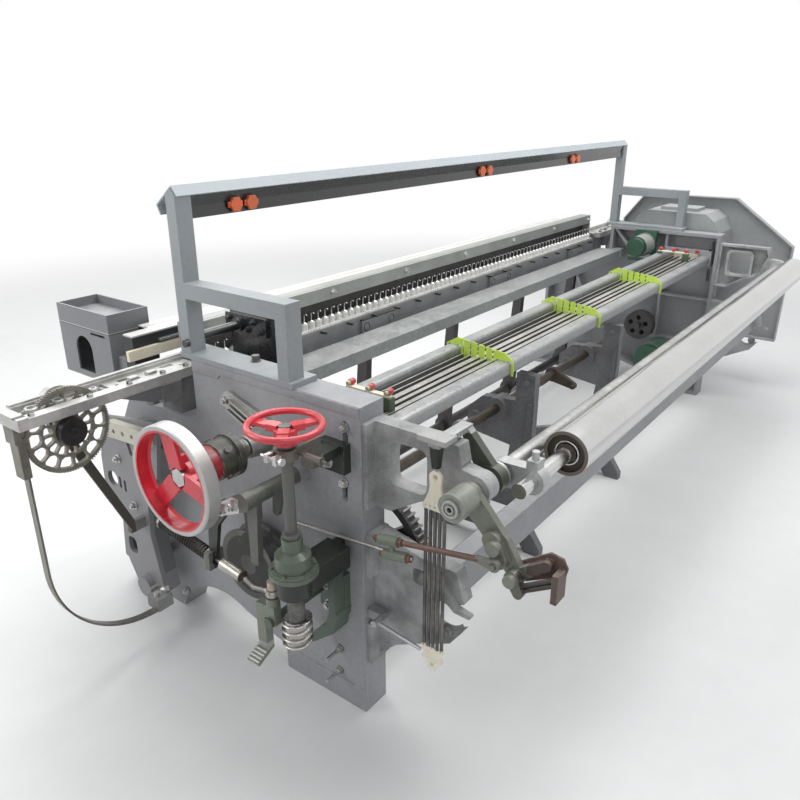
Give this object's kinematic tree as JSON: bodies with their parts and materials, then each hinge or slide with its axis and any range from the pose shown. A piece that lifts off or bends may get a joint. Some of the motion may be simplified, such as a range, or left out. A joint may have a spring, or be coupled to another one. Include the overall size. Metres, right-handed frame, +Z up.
{
  "type": "power loom",
  "caption": "Wide rapier power loom with grey cast side frames, a rocking sley with wire tape guides, warp stop motion, chrome back rest roller and red let-off handwheel",
  "frame": {"origin": "middle of the footprint of the whole machine, on the floor", "axes": "X runs along the loom's width, from the side with the red let-off wheel to the motor side; Y runs from the warp side to the cloth side; Z is up"},
  "size_m": [4.088, 1.852, 1.4],
  "materials": {
    "frame_grey": "satin",
    "galvanised": "satin",
    "black_paint": "gloss",
    "bare_steel": "satin",
    "chrome_roller": "polished",
    "olive_paint": "satin",
    "red_paint": "gloss",
    "cream_plate": "satin",
    "cast_aluminium": "satin",
    "dark_iron": "matte",
    "rusty_steel": "matte",
    "neon_plastic": "matte",
    "motor_green": "gloss",
    "sheet_grey": "satin"
  },
  "bodies": {
    "frame": {"side_frame_near": "frame_grey", "side_frame_far": "frame_grey", "rear_bracket_near": "frame_grey", "rear_bracket_far": "frame_grey", "beam_bracket_near": "frame_grey", "beam_bracket_far": "frame_grey", "front_bracket": "frame_grey", "portal_near": "frame_grey", "portal_far": "frame_grey", "portal_cap": "galvanised", "lamp_panel": "black_paint", "rear_beam": "frame_grey", "cross_channel": "galvanised", "breast_beam": "galvanised", "shaft_stands": "frame_grey", "stop_tubes": "galvanised", "contact_bars": "bare_steel", "bar_ends": "cream_plate", "comb_separators": "neon_plastic", "rapier_rail_near": "cast_aluminium", "rapier_rail_far": "cast_aluminium", "guide_strip_near": "bare_steel", "guide_strip_far": "bare_steel", "shaft_bearing": "cast_aluminium", "letoff_housing": "olive_paint", "letoff_bracket": "olive_paint", "stay_plate": "black_paint", "tray_box": "cast_aluminium", "gear_casing": "sheet_grey", "casing_hood": "sheet_grey", "drive_motor": "motor_green", "spring_anchor": "galvanised", "frame_bolts": "bare_steel", "tension_springs": "dark_iron"},
    "drive": {"handwheel": "red_paint", "main_shaft": "bare_steel", "clutch_hub": "olive_paint"},
    "letoff": {"letoff_wheel": "red_paint", "letoff_shaft": "bare_steel", "letoff_worm": "bare_steel"},
    "beam_gear": {"beam_gear": "dark_iron"},
    "brake_drum": {"brake_drum": "dark_iron"},
    "sley": {"sley_beam": "frame_grey", "sley_cap": "galvanised", "tape_guides": "cream_plate", "reed": "dark_iron", "sley_rocker": "dark_iron"},
    "rapier_wheel_near": {"rapier_wheel_near": "cast_aluminium"},
    "rapier_wheel_far": {"rapier_wheel_far": "cast_aluminium"},
    "back_rest": {"tension_lever": "olive_paint", "back_rest_shaft": "bare_steel", "back_rest_arms": "cast_aluminium"},
    "roller": {"back_rest_roller": "chrome_roller"},
    "tie_rod": {"tie_rod": "rusty_steel"},
    "brake_shaft": {"brake_shaft": "olive_paint"},
    "brake_rod": {"brake_rod": "bare_steel"},
    "pedal_lever": {"pedal_lever": "olive_paint"},
    "rocker_shaft": {"rocker_shaft": "rusty_steel"},
    "cam_shaft": {"cam_shaft": "bare_steel"},
    "drive_pulley": {"drive_pulley": "dark_iron"}
  },
  "joints": [
    {"name": "main_shaft_turn", "type": "hinge", "parent": "frame", "child": "drive", "pos_m": [-1.67, -0.077, 0.777], "axis": [1, 0, 0], "continuous": true},
    {"name": "letoff_turn", "type": "hinge", "parent": "frame", "child": "letoff", "pos_m": [-1.755, -0.322, 0.7], "axis": [0, 0, 1], "continuous": true},
    {"name": "beam_gear_turn", "type": "hinge", "parent": "frame", "child": "beam_gear", "pos_m": [-1.457, -0.304, 0.462], "axis": [1, 0, 0], "continuous": true},
    {"name": "brake_drum_turn", "type": "hinge", "parent": "frame", "child": "brake_drum", "pos_m": [-1.57, -0.032, 0.395], "axis": [1, 0, 0], "continuous": true},
    {"name": "sley_rock", "type": "hinge", "parent": "frame", "child": "sley", "pos_m": [0, 0.406, 0.128], "axis": [1, 0, 0], "range_deg": [-5, 2]},
    {"name": "near_wheel_turn", "type": "hinge", "parent": "frame", "child": "rapier_wheel_near", "pos_m": [-1.89, 0.371, 0.787], "axis": [0, 1, 0], "continuous": true},
    {"name": "far_wheel_turn", "type": "hinge", "parent": "frame", "child": "rapier_wheel_far", "pos_m": [1.89, 0.371, 0.787], "axis": [0, 1, 0], "continuous": true},
    {"name": "back_rest_swing", "type": "hinge", "parent": "frame", "child": "back_rest", "pos_m": [0, -0.685, 0.792], "axis": [1, 0, 0], "range_deg": [-4, 4], "deforming": ["tension_springs"]},
    {"name": "roller_turn", "type": "hinge", "parent": "back_rest", "child": "roller", "pos_m": [0.11, -0.767, 0.795], "axis": [1, 0, 0], "continuous": true},
    {"name": "tie_rod_swing", "type": "hinge", "parent": "back_rest", "child": "tie_rod", "pos_m": [-1.598, -0.779, 0.669], "axis": [1, 0, 0], "range_deg": [-4, 4]},
    {"name": "brake_shaft_turn", "type": "hinge", "parent": "frame", "child": "brake_shaft", "pos_m": [-1.63, -0.184, 0.703], "axis": [1, 0, 0], "range_deg": [-1.9, 1.9]},
    {"name": "pedal_turn", "type": "hinge", "parent": "frame", "child": "pedal_lever", "pos_m": [-1.772, -0.258, 0.388], "axis": [1, 0, 0], "range_deg": [-5, 5]},
    {"name": "brake_rod_swing", "type": "hinge", "parent": "pedal_lever", "child": "brake_rod", "pos_m": [-1.77, -0.256, 0.47], "axis": [1, 0, 0], "range_deg": [-5, 5]},
    {"name": "rocker_turn", "type": "hinge", "parent": "frame", "child": "rocker_shaft", "pos_m": [-0.38, -0.212, 0.566], "axis": [1, 0, 0], "range_deg": [-20, 20]},
    {"name": "cam_shaft_turn", "type": "hinge", "parent": "frame", "child": "cam_shaft", "pos_m": [-0.38, -0.122, 0.5], "axis": [1, 0, 0], "continuous": true},
    {"name": "pulley_turn", "type": "hinge", "parent": "frame", "child": "drive_pulley", "pos_m": [1.39, -0.032, 0.395], "axis": [1, 0, 0], "continuous": true}
  ],
  "couplings": [
    {"joint": "tie_rod_swing", "follows": "back_rest_swing", "ratio": -1},
    {"joint": "brake_rod_swing", "follows": "pedal_turn", "ratio": -1},
    {"joint": "brake_shaft_turn", "follows": "pedal_turn", "ratio": -0.38}
  ]
}
